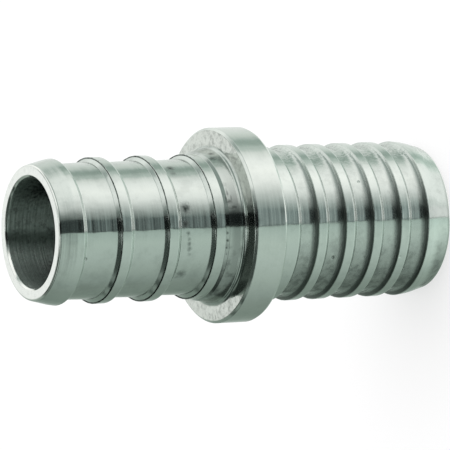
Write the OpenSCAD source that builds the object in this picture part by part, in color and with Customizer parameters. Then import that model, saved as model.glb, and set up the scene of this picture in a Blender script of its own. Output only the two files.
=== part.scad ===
// Transition coupling for plastic pipe, cast in stainless steel and finished on a lathe.
// A slim barb takes the cross-linked pipe, a wider one the polybutylene pipe,
// and the collar between them stops both pipes.
// The part stands on the end face of the wide barb. The bore runs along Z.

/* [Bore] */
// Diameter of the bore that runs right through
bore_d = 13.46; // [10:0.01:14.4]
// Width of the bevel at each mouth of the bore
mouth_bevel = 0.25; // [0.1:0.05:0.4]

/* [Slim barb] */
// Diameter over the rib crests
slim_crest_d = 17.78; // [17.4:0.01:18.6]
// How many ribs, the tapered one at the tip included
slim_ribs = 4; // [2:1:6]
// Distance from one rib to the next
slim_pitch = 6.34; // [4.5:0.01:8]
// Width of the flat on top of a rib
slim_land = 1.26; // [0.6:0.01:2]
// Depth of a groove where it starts behind a rib
slim_groove = 0.69; // [0.4:0.01:0.9]
// How much shallower the groove is where it ends at the next rib
slim_groove_rise = 0.12; // [0:0.01:0.2]
// Axial length of the slope that leads up to a rib
slim_lead = 0.42; // [0.2:0.01:0.8]
// Axial length of the slope that drops behind a rib
slim_drop = 0.6; // [0.2:0.01:0.8]
// Fillet at the foot of the slope that leads up to a rib
slim_foot = 0.45; // [0.1:0.05:0.8]
// Length of the tapered rib at the tip
slim_tip_len = 3; // [2:0.1:4]
// Diameter of the tip before its edge is rounded
slim_tip_d = 16.38; // [16:0.01:17]
// Round on the outer edge of the tip
slim_tip_round = 0.3; // [0.1:0.05:0.5]

/* [Wide barb] */
// Diameter over the rib crests
wide_crest_d = 19.24; // [18.6:0.01:20.4]
// How many ribs, the tapered one at the tip included
wide_ribs = 5; // [2:1:7]
// Distance from one rib to the next
wide_pitch = 3.85; // [3.4:0.01:5]
// Width of the flat on top of a rib
wide_land = 1.13; // [0.6:0.01:1.4]
// Depth of the grooves
wide_groove = 0.56; // [0.4:0.01:0.9]
// Axial length of the slope that leads up to a rib
wide_lead = 0.57; // [0.2:0.01:0.8]
// Axial length of the steep wall that holds the pipe behind a rib
wide_drop = 0.2; // [0.1:0.01:0.6]
// Fillet at the foot of the steep wall
wide_foot = 0.8; // [0.1:0.05:0.9]
// Length of the tapered rib at the tip
wide_tip_len = 3.6; // [3:0.1:5]
// Length of the lead-in taper within the tip rib
wide_taper_len = 2.4; // [1.5:0.1:2.7]
// Fall of the crown of the tip rib before its taper starts
wide_crown_fall = 0.12; // [0.02:0.01:0.2]
// Blend between the crown and the taper of the tip rib
wide_crown_round = 6; // [1:0.5:8]
// Diameter of the tip before its edge is rounded
wide_tip_d = 17.7; // [17:0.01:18.4]
// Round on the outer edge of the tip
wide_tip_round = 0.5; // [0.1:0.05:0.7]
// Length of the plain land between the last groove and the collar
wide_shoulder = 3.08; // [1.5:0.01:5]

/* [Collar] */
// Outer diameter of the collar
collar_d = 24.02; // [22:0.01:30]
// Width of the collar
collar_w = 4.35; // [2:0.05:8]
// Bevel on the collar's edge towards the slim barb
collar_bevel = 0.3; // [0.1:0.05:0.6]
// Bevel on the collar's edge towards the wide barb
collar_back_bevel = 0.13; // [0.05:0.01:0.5]
// Fillet where the wide barb meets the collar
collar_fillet = 0.3; // [0.1:0.05:0.6]

/* [Neck] */
// Length of the cast neck between the last slim rib and the collar
neck_len = 2.43; // [1.5:0.01:4]
// Diameter of the neck where it meets the collar
neck_d = 19.08; // [18.7:0.01:20]
// Fillet where the neck meets the collar
neck_fillet = 0.5; // [0.1:0.05:0.8]

/* [Smoothness] */
// Number of straight sides that stand in for a circle
circle_sides = 64; // [48:8:128]

/* [Hidden] */

// Largest turn of one short side within a rounded corner
round_step = 28;
// Overlap that keeps a cut clear of the face it opens
clear = 0.5;

slim_r = slim_crest_d / 2;
wide_r = wide_crest_d / 2;
bore_r = bore_d / 2;
collar_r = collar_d / 2;

// Heights of the main stations, measured from the end face of the wide barb
wide_last_rib = wide_tip_len + wide_ribs * wide_pitch - wide_land;
collar_bottom = wide_last_rib + wide_shoulder;
collar_top = collar_bottom + collar_w;
neck_top = collar_top + neck_len;
total_len = neck_top + (slim_ribs - 1) * slim_pitch + slim_tip_len;

// A profile is a list of corners [radius, height, round], walked upwards along the outside.

function unit(v) = v / norm(v);

function flat2(c) = [c[0], c[1]];

// Length of a side that the round of its corner c may use, shared with the corner d at its far end
function side_room(c, d) = norm(flat2(d) - flat2(c)) * (d[2] > 0 ? 0.48 : 0.97);

// Short sides that replace the corner b, between its neighbours a and c
function rounded(a, b, c) =
    let (
        toward_a = unit(flat2(a) - flat2(b)),
        toward_c = unit(flat2(c) - flat2(b)),
        half = acos(max(-1, min(1, toward_a * toward_c))) / 2,
        reach = min(b[2] / tan(half), side_room(b, a), side_room(b, c)),
        r = reach * tan(half),
        centre = flat2(b) + unit(toward_a + toward_c) * r / sin(half),
        first = flat2(b) + toward_a * reach - centre,
        last = flat2(b) + toward_c * reach - centre,
        start = atan2(first[1], first[0]),
        turn = 180 - 2 * half,
        sense = first[0] * last[1] - first[1] * last[0] > 0 ? 1 : -1,
        steps = max(2, ceil(turn / round_step))
    )
    [for (i = [0 : steps]) centre + r * [
        cos(start + sense * turn * i / steps),
        sin(start + sense * turn * i / steps)
    ]];

// The whole outline, with each corner that has a round replaced by short sides
function soften(corners) = [
    for (i = [0 : len(corners) - 1])
        let (b = corners[i])
        if (b[2] <= 0 || i == 0 || i == len(corners) - 1)
            flat2(b)
        else
            each rounded(corners[i - 1], b, corners[i + 1])
];

// Tip of the wide barb, from the axis out to the crest of the tapered rib
function wide_tip() = [
    [0, 0, 0],
    [wide_tip_d / 2, 0, wide_tip_round],
    [wide_r - wide_crown_fall, wide_taper_len, wide_crown_round],
    [wide_r, wide_tip_len, 0]
];

// One groove of the wide barb: steep wall with its large fillet, floor, slope up to the next rib
function wide_gap(i) =
    let (z = wide_tip_len + i * wide_pitch, floor_r = wide_r - wide_groove)
    [
        [wide_r, z, 0],
        [floor_r, z + wide_drop, wide_foot],
        [floor_r, z + wide_pitch - wide_land - wide_lead, 0],
        [wide_r, z + wide_pitch - wide_land, 0]
    ];

// Plain land beside the collar, and the collar with its bevelled edges
function collar_ring() = [
    [wide_r, collar_bottom, collar_fillet],
    [collar_r - collar_back_bevel, collar_bottom, 0],
    [collar_r, collar_bottom + collar_back_bevel * 2, 0],
    [collar_r, collar_top - collar_bevel, 0],
    [collar_r - collar_bevel, collar_top, 0],
    [neck_d / 2, collar_top, neck_fillet]
];

// One groove of the slim barb, below rib i: slope of that rib, floor that rises upwards in depth
function slim_gap(i) =
    let (
        z = neck_top + i * slim_pitch,
        deep_r = slim_r - slim_groove,
        shallow_r = deep_r + slim_groove_rise
    )
    [
        [slim_r, z, 0],
        [slim_r, z + slim_land, 0],
        [shallow_r, z + slim_land + slim_lead, slim_foot],
        [deep_r, z + slim_pitch - slim_drop, 0],
        [slim_r, z + slim_pitch, 0]
    ];

// Tip of the slim barb, from the taper of its end rib in to the axis
function slim_tip() = [
    [slim_r, total_len - slim_tip_len, 0],
    [slim_tip_d / 2, total_len, slim_tip_round],
    [0, total_len, 0]
];

// Corners that repeat where two stretches join are dropped
function merged(c) = [
    for (i = [0 : len(c) - 1])
        if (i == 0 || norm(flat2(c[i]) - flat2(c[i - 1])) > 0.001) c[i]
];

function outline() = soften(merged(concat(
    wide_tip(),
    [for (i = [0 : wide_ribs - 1]) each wide_gap(i)],
    collar_ring(),
    [for (i = [0 : slim_ribs - 2]) each slim_gap(i)],
    slim_tip()
)));

// Outside of the casting as the lathe leaves it
module turned_blank() {
    rotate_extrude($fn = circle_sides)
        polygon(outline());
}

// Bevel that opens one mouth of the bore, with its wide end at the face
module mouth_cut() {
    translate([0, 0, -clear])
        cylinder(
            h = mouth_bevel + clear,
            r1 = bore_r + mouth_bevel + clear,
            r2 = bore_r,
            $fn = circle_sides
        );
}

module water_way() {
    translate([0, 0, -clear])
        cylinder(h = total_len + 2 * clear, r = bore_r, $fn = circle_sides);
    mouth_cut();
    translate([0, 0, total_len])
        mirror([0, 0, 1])
            mouth_cut();
}

module coupling_body() {
    color("#a7b0aa")
        difference() {
            turned_blank();
            water_way();
        }
}

coupling_body();
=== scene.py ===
"""Studio scene of a stainless steel transition coupling that stands on its wide barb.

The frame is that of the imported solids: Z runs along the bore, the end face of the wide barb lies
on the floor at Z = 0, and the slim barb points up. The coupling's sizes are written in mm and
turned into metres where its mesh is made. The studio's own sizes are in metres.
"""

import logging
import math
from dataclasses import dataclass, field
from enum import Enum
from typing import Any, Iterable, Sequence

import bpy
from mathutils import Matrix, Vector


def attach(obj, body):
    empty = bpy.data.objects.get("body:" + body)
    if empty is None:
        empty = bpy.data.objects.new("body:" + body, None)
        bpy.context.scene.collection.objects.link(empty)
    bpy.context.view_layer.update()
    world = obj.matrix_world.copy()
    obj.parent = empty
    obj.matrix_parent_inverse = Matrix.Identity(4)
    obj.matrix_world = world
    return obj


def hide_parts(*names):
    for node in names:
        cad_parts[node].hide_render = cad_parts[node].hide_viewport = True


LOG = logging.getLogger("coupling")
MM = 0.001
NODE_NAME = "coupling_body"

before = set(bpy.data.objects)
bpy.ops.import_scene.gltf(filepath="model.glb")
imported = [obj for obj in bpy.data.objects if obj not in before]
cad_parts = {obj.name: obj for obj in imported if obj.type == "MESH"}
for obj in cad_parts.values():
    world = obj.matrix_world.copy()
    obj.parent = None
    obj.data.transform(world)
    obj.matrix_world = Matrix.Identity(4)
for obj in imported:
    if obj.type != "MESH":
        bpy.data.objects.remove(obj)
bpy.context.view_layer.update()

Tree = bpy.types.NodeTree
# Where a value comes from: an output, or a node that stands for its first output.
Source = bpy.types.NodeSocket | bpy.types.Node
# Linear red, green and blue of a colour or a light, with alpha. A light may be over 1.
Light = tuple[float, float, float, float]
# Rows of numbers, each with a place and what holds there.
Table = tuple[tuple[float, ...], ...]
WHITE: Light = (1.0, 1.0, 1.0, 1.0)


class Zone(Enum):
    """Stretches of the surface that were finished in different ways."""

    SLIM_TURNED = 0
    WIDE_TURNED = 1
    COLLAR_RIM = 2
    NECK = 3
    COLLAR_FACE = 4
    FACED_END = 5
    DRILLED_BORE = 6
    # The steep walls of the slim ribs, which carry painted shade.
    RIB_WALL = 7


@dataclass(frozen=True)
class Corner:
    """One corner of the lathe profile, walked upwards along the outside and down the bore.

    Args:
        r: Distance from the axis in mm.
        z: Height above the floor in mm.
        round_mm: Radius of the round or fillet at the corner, in mm.
        rows: Number of short sides that make the round.
    """

    r: float
    z: float
    round_mm: float = 0.0
    rows: int = 2


@dataclass(frozen=True)
class Mark:
    """A pit, nick, stain or patch of painted shade at one place of the surface.

    Args:
        z: Height above the floor in mm.
        turn: Angle round the axis in degrees, 0 at the front and positive towards +X.
        size: Radius of the mark in mm.
        depth: Depth of a pit in mm, or 0 for a stain or a patch of painted shade.
        tall: How much longer the mark is along the axis than round it.
    """

    z: float
    turn: float
    size: float
    depth: float = 0.0
    tall: float = 1.0

    def centre(self, radius: float) -> Vector:
        """Place of the mark in metres on a cylinder of the given radius in mm.

        Args:
            radius: Radius of the surface in mm.

        Returns:
            The point on the surface.
        """
        a = math.radians(self.turn)
        return Vector((radius * math.sin(a), -radius * math.cos(a), self.z)) * MM


# Marks with the radius of their surface in mm and their strength.
StainsAndShade = Sequence[tuple[Mark, float, float]]
# Sources, each with its value where a cover starts and its value where the cover is full.
Limits = Sequence[tuple[Source, float, float]]


def linear(hex_colour: str) -> Light:
    """Turn an sRGB hex colour into linear values.

    Args:
        hex_colour: Six hex digits.

    Returns:
        Linear red, green and blue, with an alpha of 1.
    """
    values = []
    for i in (0, 2, 4):
        v = int(hex_colour[i:i + 2], 16) / 255.0
        values.append(v / 12.92 if v <= 0.04045 else ((v + 0.055) / 1.055) ** 2.4)
    return (*values, 1.0)


def add_node(tree: Tree, kind: str, settings: dict[str, Any] | None = None,
             inputs: dict[Any, Any] | None = None) -> bpy.types.Node:
    """Add one node with its settings, its values and its incoming links.

    Args:
        tree: Node tree that takes the node.
        kind: Type name of the node.
        settings: Properties of the node by name.
        inputs: Value, output or node for each input, by the input's name or number. A node
            stands for its first output, and None leaves the input as it is.

    Returns:
        The new node.
    """
    node = tree.nodes.new(kind)
    for name, value in (settings or {}).items():
        setattr(node, name, value)
    for key, value in (inputs or {}).items():
        if isinstance(value, bpy.types.Node):
            value = value.outputs[0]
        if isinstance(value, bpy.types.NodeSocket):
            tree.links.new(value, node.inputs[key])
        elif value is not None:
            node.inputs[key].default_value = value
    return node


def set_stops(ramp: bpy.types.ColorRamp, stops: Sequence[tuple[float, Light]]) -> None:
    """Fill a colour ramp.

    Args:
        ramp: Ramp to fill.
        stops: Position and linear colour of each stop, in rising order.
    """
    while len(ramp.elements) > 1:
        ramp.elements.remove(ramp.elements[-1])
    for i, (position, colour) in enumerate(stops):
        stop = ramp.elements[0] if i == 0 else ramp.elements.new(position)
        stop.position = position
        stop.color = colour


def cover(tree: Tree, limits: Limits, full: float = 1.0, shares: Sequence[Source] = ()) -> Source:
    """How much of a place lies within all of some soft limits.

    Args:
        tree: Node tree that takes the nodes.
        limits: Soft limits. The value where the cover is full may be the lower one.
        full: Cover where every limit is met.
        shares: Further shares that the cover is multiplied by.

    Returns:
        Source of the cover.
    """
    total: Source | float = full
    for value, start, end in limits:
        step = add_node(tree, "ShaderNodeMapRange", {"interpolation_type": "SMOOTHSTEP"}, {
            "Value": value, "From Min": start, "From Max": end,
        })
        total = add_node(tree, "ShaderNodeMath", {"operation": "MULTIPLY"}, {0: step, 1: total})
    for share in shares:
        total = add_node(tree, "ShaderNodeMath", {"operation": "MULTIPLY"}, {0: share, 1: total})
    return total


def lay(tree: Tree, below: Source | Light, colour: Source | Light, limits: Limits = (),
        shares: Sequence[Source] = ()) -> Source:
    """Lay a colour over the part of another one that lies within some soft limits.

    Args:
        tree: Node tree that takes the nodes.
        below: Colour that stays outside the limits.
        colour: Colour that is laid over it.
        limits: Soft limits of the cover.
        shares: Further shares that the cover is multiplied by.

    Returns:
        Source of the colour.
    """
    return add_node(tree, "ShaderNodeMix", {"data_type": "RGBA"}, {
        "Factor": cover(tree, limits, shares=shares), 6: below, 7: colour,
    }).outputs[2]


def empty_tree(owner: bpy.types.Material | bpy.types.World) -> Tree:
    """Give a material or a world its node tree, without nodes.

    Args:
        owner: Material or world.

    Returns:
        The node tree.
    """
    owner.use_nodes = True
    owner.node_tree.nodes.clear()
    return owner.node_tree


def seen_directly(tree: Tree) -> Source:
    """Tell whether the camera looks at a place, straight on or through glass.

    Args:
        tree: Node tree that takes the nodes.

    Returns:
        Source that is 1 if it does and 0 if not.
    """
    path = add_node(tree, "ShaderNodeLightPath")
    return add_node(tree, "ShaderNodeMath", {"operation": "ADD"}, {
        0: path.outputs["Is Camera Ray"], 1: path.outputs["Is Transmission Ray"],
    })


def distance_from_axis(tree: Tree, place: Source) -> Source:
    """Distance of a place from the axis of the bore.

    Args:
        tree: Node tree that takes the nodes.
        place: Object coordinates.

    Returns:
        Source of the distance in metres.
    """
    flat = add_node(tree, "ShaderNodeVectorMath", {"operation": "MULTIPLY"}, {0: place, 1: (1, 1, 0)})
    return add_node(tree, "ShaderNodeVectorMath", {"operation": "LENGTH"}, {0: flat}).outputs[1]


def soften(corners: Sequence[Corner], guard: float = 0.05) -> list[tuple[float, float]]:
    """Replace each rounded corner of a closed outline by short sides.

    A guard row on both sides of each round keeps the long faces beside it flat when they are
    shaded smooth.

    Args:
        corners: Corners of the closed outline.
        guard: Distance of the guard rows from the round, in mm.

    Returns:
        Points of the outline as radius and height in mm.
    """
    points: list[tuple[float, float]] = []
    count = len(corners)
    for i, corner in enumerate(corners):
        here = Vector((corner.r, corner.z))
        back = Vector((corners[i - 1].r, corners[i - 1].z)) - here
        ahead = Vector((corners[(i + 1) % count].r, corners[(i + 1) % count].z)) - here
        if corner.round_mm <= 0:
            points.append(tuple(here))
            continue
        half = back.angle(ahead) / 2
        # A finely divided round may take up nearly all of its sides.
        room = 0.9 if corner.rows > 3 else 0.46
        reach = min(corner.round_mm / math.tan(half), room * back.length, room * ahead.length)
        radius = reach * math.tan(half)
        to_last, to_next = back.normalized(), ahead.normalized()
        middle = here + (to_last + to_next).normalized() * radius / math.sin(half)
        start, end = here + to_last * reach, here + to_next * reach
        if back.length - reach > 3 * guard:
            points.append(tuple(start + to_last * guard))
        v0, v1 = start - middle, end - middle
        turn = math.atan2(v0.x * v1.y - v0.y * v1.x, v0.dot(v1))
        for k in range(corner.rows + 1):
            t = turn * k / corner.rows
            v = Vector((v0.x * math.cos(t) - v0.y * math.sin(t), v0.x * math.sin(t) + v0.y * math.cos(t)))
            points.append(tuple(middle + v))
        if ahead.length - reach > 3 * guard:
            points.append(tuple(end + to_next * guard))
    return points


@dataclass(frozen=True)
class Spacing:
    """Row spacing along the profile.

    Args:
        plain: Spacing on turned faces in mm.
        cast: Spacing on the cast skin in mm.
        cast_z: Heights between which the outside is cast skin, in mm.
        bore_r: Radius of the bore in mm.
        bore: Spacing in the bore in mm.
    """

    plain: float
    cast: float
    cast_z: tuple[float, float]
    bore_r: float
    bore: float = 3.0

    def at(self, place: Vector) -> float:
        """Longest side allowed at a place.

        Args:
            place: Radius and height of the place in mm.

        Returns:
            Length in mm.
        """
        if place.x < self.bore_r + 0.01:
            return self.bore
        if self.cast_z[0] <= place.y <= self.cast_z[1]:
            return self.cast
        return self.plain


def divide(points: Sequence[tuple[float, float]], longest: Spacing) -> list[tuple[float, float]]:
    """Split the long sides of a closed outline.

    Args:
        points: Points of the outline in mm.
        longest: Rule for the longest side at a place.

    Returns:
        The outline with more points.
    """
    result: list[tuple[float, float]] = []
    for i, point in enumerate(points):
        nxt = points[(i + 1) % len(points)]
        a, b = Vector(point), Vector(nxt)
        pieces = max(1, math.ceil((b - a).length / longest.at((a + b) / 2)))
        result.extend(tuple(a.lerp(b, k / pieces)) for k in range(pieces))
    return result


@dataclass
class SlimBarb:
    """Barb for the cross-linked pipe. Sizes in mm.

    The main ones are the solid's own. The walls behind the ribs are steeper than in the solid, and
    the taper of the tip rib eases into its crest.
    """

    crest_r: float = 8.89
    ribs: int = 4
    pitch: float = 6.34
    land: float = 1.26
    groove: float = 0.69
    groove_rise: float = 0.12
    lead: float = 0.42
    wall: float = 0.19
    wall_drop: float = 0.04
    drop: float = 0.6
    foot: float = 0.12
    tip_len: float = 3.0
    tip_r: float = 8.19
    tip_round: float = 0.3
    ease_fall: float = 0.13
    ease_len: float = 0.78
    ease_round: float = 2.5
    edge: float = 0.05
    crest_round: float = 0.22
    first_round: float = 0.15
    tip_crest_round: float = 0.2
    wall_round: float = 0.03
    floor_round: float = 0.18

    def length(self) -> float:
        """Length from the first rib to the tip in mm."""
        return (self.ribs - 1) * self.pitch + self.tip_len

    def corners(self, base: float) -> list[Corner]:
        """Outline from the first rib, next to the neck, up to the end face.

        Args:
            base: Height where the neck ends, in mm.

        Returns:
            The corners in rising order.
        """
        found: list[Corner] = []
        deep = self.crest_r - self.groove
        for i in range(self.ribs - 1):
            z = base + i * self.pitch
            found += [
                Corner(self.crest_r, z, self.crest_round if i else self.first_round, 5),
                Corner(self.crest_r, z + self.land, self.edge),
                Corner(self.crest_r - self.wall, z + self.land + self.wall_drop, self.wall_round, 1),
                Corner(deep + self.groove_rise, z + self.land + self.lead, self.foot, 5),
                Corner(deep, z + self.pitch - self.drop, self.floor_round, 3),
            ]
        top = base + self.length()
        found += [
            Corner(self.crest_r, top - self.tip_len, self.tip_crest_round, 5),
            Corner(self.crest_r - self.ease_fall, top - self.tip_len + self.ease_len, self.ease_round, 4),
            Corner(self.tip_r, top, self.tip_round, 5),
        ]
        return found


@dataclass
class WideBarb:
    """Barb for the polybutylene pipe. Sizes in mm.

    The grooves are 0.06 mm deeper than in the solid, and the steep walls and the ribs were moved
    by up to 0.1 mm, to follow the photograph's shading.
    """

    crest_r: float = 9.62
    ribs: int = 5
    pitch: float = 3.875
    land: float = 1.13
    groove: float = 0.62
    lead: float = 0.57
    wall: float = 0.34
    wall_drop: float = 0.14
    foot_slope: float = 33.0
    tip_len: float = 3.58
    taper_len: float = 2.4
    crown_fall: float = 0.12
    crown_round: float = 6.0
    tip_r: float = 8.85
    tip_round: float = 0.5
    shoulder: float = 2.975
    edge: float = 0.05
    crest_round: float = 0.2
    wall_round: float = 0.03
    floor_round: float = 0.15

    def length(self) -> float:
        """Length from the floor to the collar in mm."""
        return self.tip_len + self.ribs * self.pitch - self.land + self.shoulder

    def corners(self) -> list[Corner]:
        """Outline from the end face on the floor up to the collar.

        Returns:
            The corners in rising order.
        """
        found = [
            Corner(self.tip_r, 0.0, self.tip_round, 5),
            Corner(self.crest_r - self.crown_fall, self.taper_len, self.crown_round, 4),
        ]
        floor_r = self.crest_r - self.groove
        # The tool's round nose leaves a curved foot under the steep wall of each rib.
        rise = self.groove - self.wall
        slope = math.radians(self.foot_slope)
        foot_z = self.wall_drop + rise / math.tan(slope)
        nose = rise / math.sin(slope) / math.tan(slope / 2)
        for i in range(self.ribs):
            z = self.tip_len + i * self.pitch
            found += [
                Corner(self.crest_r, z, self.edge),
                Corner(self.crest_r - self.wall, z + self.wall_drop, self.wall_round, 1),
                Corner(floor_r, z + foot_z, nose, 8),
                Corner(floor_r, z + self.pitch - self.land - self.lead, self.floor_round, 3),
                Corner(self.crest_r, z + self.pitch - self.land, self.crest_round, 5),
            ]
        return found


@dataclass
class CollarAndNeck:
    """Collar between the barbs, with the cast neck above it. Sizes in mm.

    The collar's face rises a little towards the neck, and the neck narrows to a small step under
    the first rib of the slim barb.
    """

    collar_r: float = 12.01
    width: float = 4.35
    bevel: float = 0.3
    back_bevel: float = 0.13
    fillet: float = 0.3
    neck_len: float = 2.43
    neck_r: float = 9.47
    neck_top_r: float = 9.14
    neck_step: float = 0.4
    neck_fillet: float = 0.55
    step_round: float = 0.2
    face_rise: float = 0.04
    # Rounds on both edges of each bevel, from the wide barb up.
    back_rounds: tuple[float, float] = (0.04, 0.05)
    front_rounds: tuple[float, float] = (0.12, 0.1)

    def corners(self, base: float, wide_r: float) -> list[Corner]:
        """Outline from the foot of the collar up to the neck's step.

        Args:
            base: Height of the collar's lower face, in mm.
            wide_r: Radius of the wide barb's plain land, in mm.

        Returns:
            The corners in rising order.
        """
        top = base + self.width
        return [
            Corner(wide_r, base, self.fillet, 4),
            Corner(self.collar_r - self.back_bevel, base, self.back_rounds[0], 1),
            Corner(self.collar_r, base + 2 * self.back_bevel, self.back_rounds[1], 2),
            Corner(self.collar_r, top - self.bevel - self.face_rise / 2, self.front_rounds[0], 3),
            Corner(self.collar_r - self.bevel, top - self.face_rise / 2, self.front_rounds[1], 3),
            Corner(self.neck_r, top + self.face_rise / 2, self.neck_fillet, 7),
            Corner(self.neck_top_r, top + self.neck_len - self.neck_step, self.step_round, 3),
        ]


@dataclass
class Bore:
    """Through bore with a bevelled mouth at each end. Sizes in mm."""

    radius: float = 6.73
    bevel: float = 0.25
    mouth_round: float = 0.08
    bevel_round: float = 0.1

    def corners(self, top: float) -> list[Corner]:
        """Outline down the bore, from the upper mouth to the lower one.

        Args:
            top: Height of the upper end face, in mm.

        Returns:
            The corners in falling order.
        """
        return [
            Corner(self.radius + self.bevel, top, self.mouth_round, 2),
            Corner(self.radius, top - self.bevel, self.bevel_round, 2),
            Corner(self.radius, self.bevel, self.bevel_round, 2),
            Corner(self.radius + self.bevel, 0.0, self.mouth_round, 2),
        ]


def clear_selection() -> None:
    """Leave edit mode and deselect every object."""
    if bpy.context.object and bpy.context.object.mode != "OBJECT":
        bpy.ops.object.mode_set(mode="OBJECT")
    bpy.ops.object.select_all(action="DESELECT")


def pick(piece: bpy.types.Object) -> None:
    """Select one object alone and make it the active one.

    Args:
        piece: Object to select.
    """
    clear_selection()
    bpy.context.view_layer.objects.active = piece
    piece.select_set(True)


def trace_outline(name: str, points: Sequence[tuple[float, float]]) -> bpy.types.Object:
    """Draw a closed outline in the XZ plane by extruding one point after the other.

    Args:
        name: Name of the new object.
        points: Radius and height of each point in mm.

    Returns:
        The object, with one ring of edges.
    """
    clear_selection()
    bpy.ops.mesh.primitive_plane_add(size=MM)
    piece = bpy.context.object
    piece.name = name
    piece.data.name = name
    bpy.ops.object.mode_set(mode="EDIT")
    bpy.ops.mesh.select_all(action="SELECT")
    bpy.ops.mesh.merge(type="CENTER")
    first = points[0]
    bpy.ops.transform.translate(value=(first[0] * MM, 0.0, first[1] * MM))
    for a, b in zip(points, [*points[1:], first]):
        step = ((b[0] - a[0]) * MM, 0.0, (b[1] - a[1]) * MM)
        bpy.ops.mesh.extrude_vertices_move(TRANSFORM_OT_translate={"value": step})
    bpy.ops.mesh.select_all(action="SELECT")
    bpy.ops.mesh.remove_doubles(threshold=0.0005 * MM)
    bpy.ops.object.mode_set(mode="OBJECT")
    return piece


def spin_closed(piece: bpy.types.Object, steps: int) -> None:
    """Turn an outline round the Z axis into a closed shell.

    Args:
        piece: Object that holds the outline.
        steps: Number of steps round the axis.
    """
    bpy.ops.object.mode_set(mode="EDIT")
    bpy.ops.mesh.select_all(action="SELECT")
    bpy.ops.mesh.spin(steps=steps, angle=math.tau, center=(0.0, 0.0, 0.0), axis=(0.0, 0.0, 1.0))
    bpy.ops.mesh.select_all(action="SELECT")
    bpy.ops.mesh.remove_doubles(threshold=0.0005 * MM)
    bpy.ops.mesh.normals_make_consistent(inside=False)
    bpy.ops.object.mode_set(mode="OBJECT")


def smoothstep(low: float, high: float, value: float) -> float:
    """Smooth rise from 0 at low to 1 at high."""
    t = min(1.0, max(0.0, (value - low) / (high - low)))
    return t * t * (3 - 2 * t)


def weigh(piece: bpy.types.Object, name: str, weights: Iterable[float]) -> str:
    """Make a vertex group from one weight for each vertex.

    Args:
        piece: Object whose vertices are weighed.
        name: Name of the vertex group.
        weights: Weights in the order of the vertices.

    Returns:
        The group's name.
    """
    group = piece.vertex_groups.new(name=name)
    for index, weight in enumerate(weights):
        if weight > 0.001:
            group.add([index], min(1.0, weight), "REPLACE")
    return group.name


def displace(piece: bpy.types.Object, group: str, strength: float, grain: float = 0.0,
             depth: int = 2, middle: float = 0.5) -> None:
    """Push the vertices of a group along their normals and apply the result.

    Args:
        piece: Object to shape.
        group: Vertex group that is pushed.
        strength: Full height of the push in mm, negative inwards.
        grain: Size of the lumps in mm, or 0 for an even push.
        depth: Levels of finer lumps.
        middle: Grey level of the lumps that stays in place.
    """
    push = piece.modifiers.new("push", "DISPLACE")
    push.strength = strength * MM
    push.vertex_group = group
    push.mid_level = 0.0
    if grain > 0:
        lumps = bpy.data.textures.new(group, "CLOUDS")
        lumps.noise_scale = grain * MM
        lumps.noise_depth = depth
        push.texture = lumps
        push.texture_coords = "LOCAL"
        push.mid_level = middle
    pick(piece)
    bpy.ops.object.modifier_apply(modifier=push.name)


@dataclass(frozen=True)
class RibFootShade:
    """Painted shade at the foot of each rib's steep wall.

    Args:
        first: Height of the first rib's edge in mm.
        pitch: Distance from one rib to the next in mm.
        count: Number of ribs.
        reach: How far above the edge the painted shade starts, in mm.
        line: How far above the edge it is full, in mm.
        soft: Darkness of the broad painted shade.
        hard: Further darkness of the painted line next to the edge.
        wander: How far the noise moves the painted shade down at most, in mm.
        lit_side_x: Places along X where the painted shade starts to fade towards the lit +X side and where
            it is down to a tenth, in mm.
    """

    first: float
    pitch: float
    count: int
    reach: float
    line: float
    soft: float
    hard: float
    wander: float = 0.5
    lit_side_x: tuple[float, float] = (2.5, 7.5)


@dataclass(frozen=True)
class PaintedGrooveShade:
    """Painted shade in the grooves, more of it on the -X side.

    Args:
        crest_r: Radius in mm where the painted shade starts.
        floor_r: Radius in mm where the painted shade is full.
        level: Strength of the painted shade all round.
        under: Further painted shade on the -X side.
        foot: Painted shade at the foot of the steep walls, or None.
        under_x: Place along X where the painted shade of that side is full, in mm.
        clear_line_x: Places along X where the painted shade starts and where it is full again, past the
            unshaded lowest line of that side, in mm.
    """

    crest_r: float
    floor_r: float
    level: float
    under: float
    foot: RibFootShade | None = None
    under_x: float = -8.0
    clear_line_x: tuple[float, float] = (-8.95, -8.45)


@dataclass(frozen=True)
class Curls:
    """Curled marks that the rough cut left in the grooves on the +X side.

    Args:
        size: Size of a curl in mm.
        height_um: Height of the curls in thousandths of a mm.
        side_x: Places along X where they start and where they are full, in mm.
        groove_r: Radii where they start and where they are full, in mm.
    """

    size: float = 0.9
    height_um: float = 100.0
    side_x: tuple[float, float] = (6.2, 8.6)
    groove_r: tuple[float, float] = (9.55, 9.3)


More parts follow.
